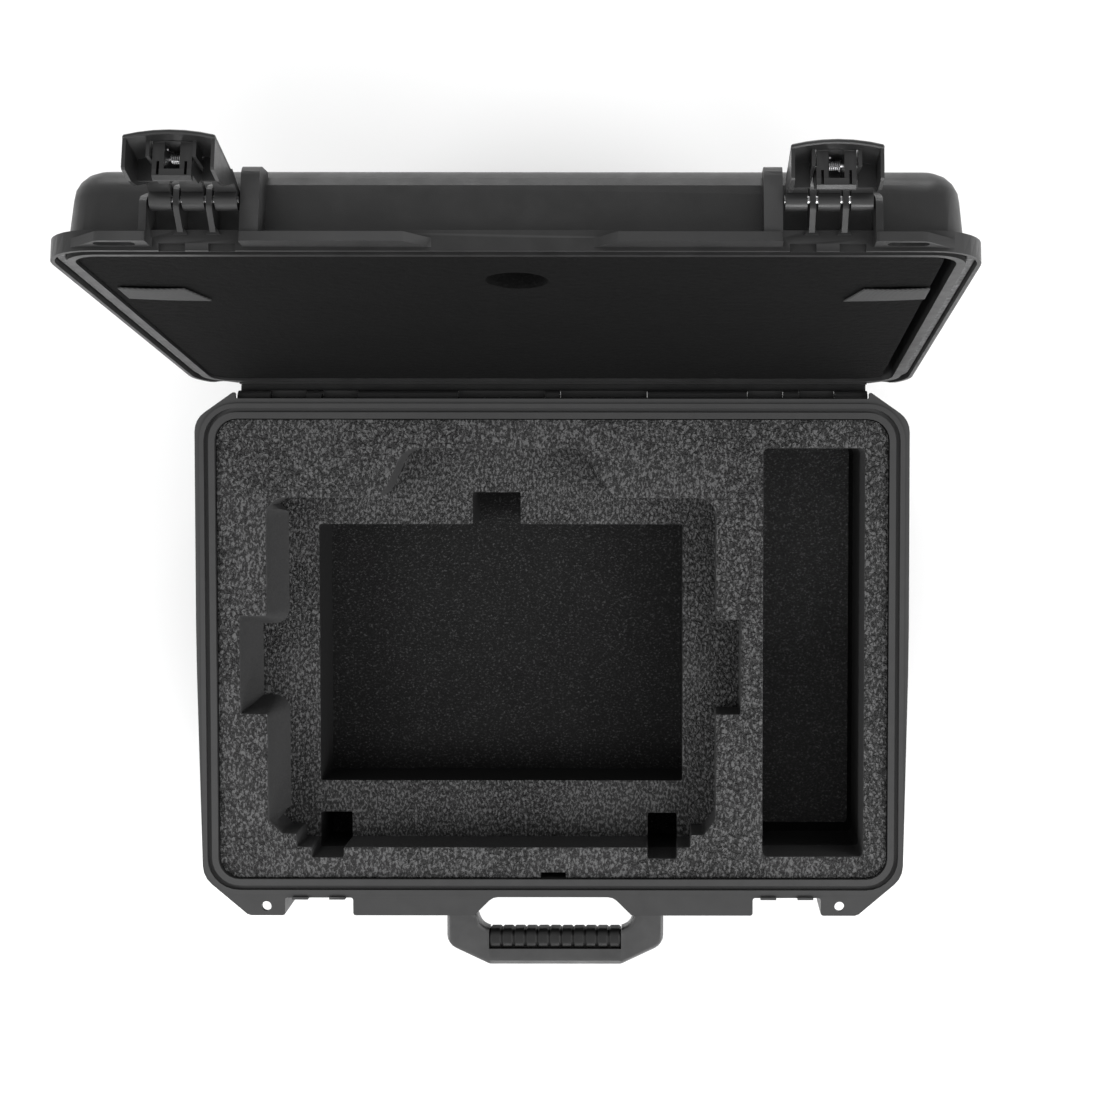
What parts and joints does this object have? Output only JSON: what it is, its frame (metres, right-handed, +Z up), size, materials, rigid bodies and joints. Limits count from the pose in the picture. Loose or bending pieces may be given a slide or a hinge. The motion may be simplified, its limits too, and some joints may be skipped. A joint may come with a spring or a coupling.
{
  "type": "hard equipment case",
  "caption": "Watertight moulded carrying case, open: hinged lid, swing latches with press buttons, folding handle, gasket and cut foam inlay.",
  "frame": {"origin": "centre of the base's flat underside", "axes": "+X to the right seen from the handle side, +Y from the handle to the hinge, +Z up; the case is stored open, with the lid leaning back on its stop"},
  "size_m": [0.46, 0.4877, 0.4885],
  "materials": {
    "case_plastic": "satin",
    "handle_plastic": "satin",
    "latch_plastic": "satin",
    "grip_rubber": "matte",
    "gasket": "matte",
    "steel": "polished",
    "crackle_foam": "matte",
    "fine_foam": "matte",
    "webbing": "matte"
  },
  "bodies": {
    "base": {"base_shell": "case_plastic", "hinge_pin_left": "steel", "hinge_pin_centre": "steel", "hinge_pin_right": "steel", "handle_pin_left": "steel", "handle_pin_right": "steel", "valve_body": "latch_plastic", "valve_o_ring": "grip_rubber", "valve_membrane": "webbing", "valve_nut": "latch_plastic", "foam_top": "crackle_foam", "foam_middle": "crackle_foam", "foam_lower": "fine_foam", "foam_pad": "fine_foam"},
    "lid": {"lid_shell": "case_plastic", "lid_gasket": "gasket", "lid_foam": "fine_foam", "lid_strap_left": "webbing", "lid_strap_right": "webbing", "latch_pivot_pin_left": "steel", "latch_pivot_pin_right": "steel"},
    "latch_left": {"latch_body_left": "latch_plastic", "latch_spring_left": "steel", "latch_button_pin_left": "steel"},
    "latch_right": {"latch_body_right": "latch_plastic", "latch_spring_right": "steel", "latch_button_pin_right": "steel"},
    "button_left": {"latch_button_left": "latch_plastic"},
    "button_right": {"latch_button_right": "latch_plastic"},
    "handle": {"handle_frame": "handle_plastic", "handle_grip": "grip_rubber"}
  },
  "joints": [
    {"name": "lid_hinge", "type": "hinge", "parent": "base", "child": "lid", "pos_m": [0, 0.164, 0.1195], "axis": [1, 0, 0], "range_deg": [0, 99.7]},
    {"name": "latch_left", "type": "hinge", "parent": "lid", "child": "latch_left", "pos_m": [-0.1518, 0.25295, 0.43807], "axis": [1, 0, 0], "range_deg": [0, 93]},
    {"name": "latch_right", "type": "hinge", "parent": "lid", "child": "latch_right", "pos_m": [0.1518, 0.25295, 0.43807], "axis": [1, 0, 0], "range_deg": [-5.4, 87.6]},
    {"name": "latch_button_left", "type": "hinge", "parent": "latch_left", "child": "button_left", "pos_m": [-0.1518, 0.26801, 0.4685], "axis": [1, 0, 0], "range_deg": [-9, 0], "stiffness_Nm_per_rad": 0.2},
    {"name": "latch_button_right", "type": "hinge", "parent": "latch_right", "child": "button_right", "pos_m": [0.1518, 0.26508, 0.46978], "axis": [1, 0, 0], "range_deg": [-9, 0], "stiffness_Nm_per_rad": 0.2},
    {"name": "handle_hinge", "type": "hinge", "parent": "base", "child": "handle", "pos_m": [0, -0.16, 0.1], "axis": [1, 0, 0], "range_deg": [-5, 88]}
  ]
}
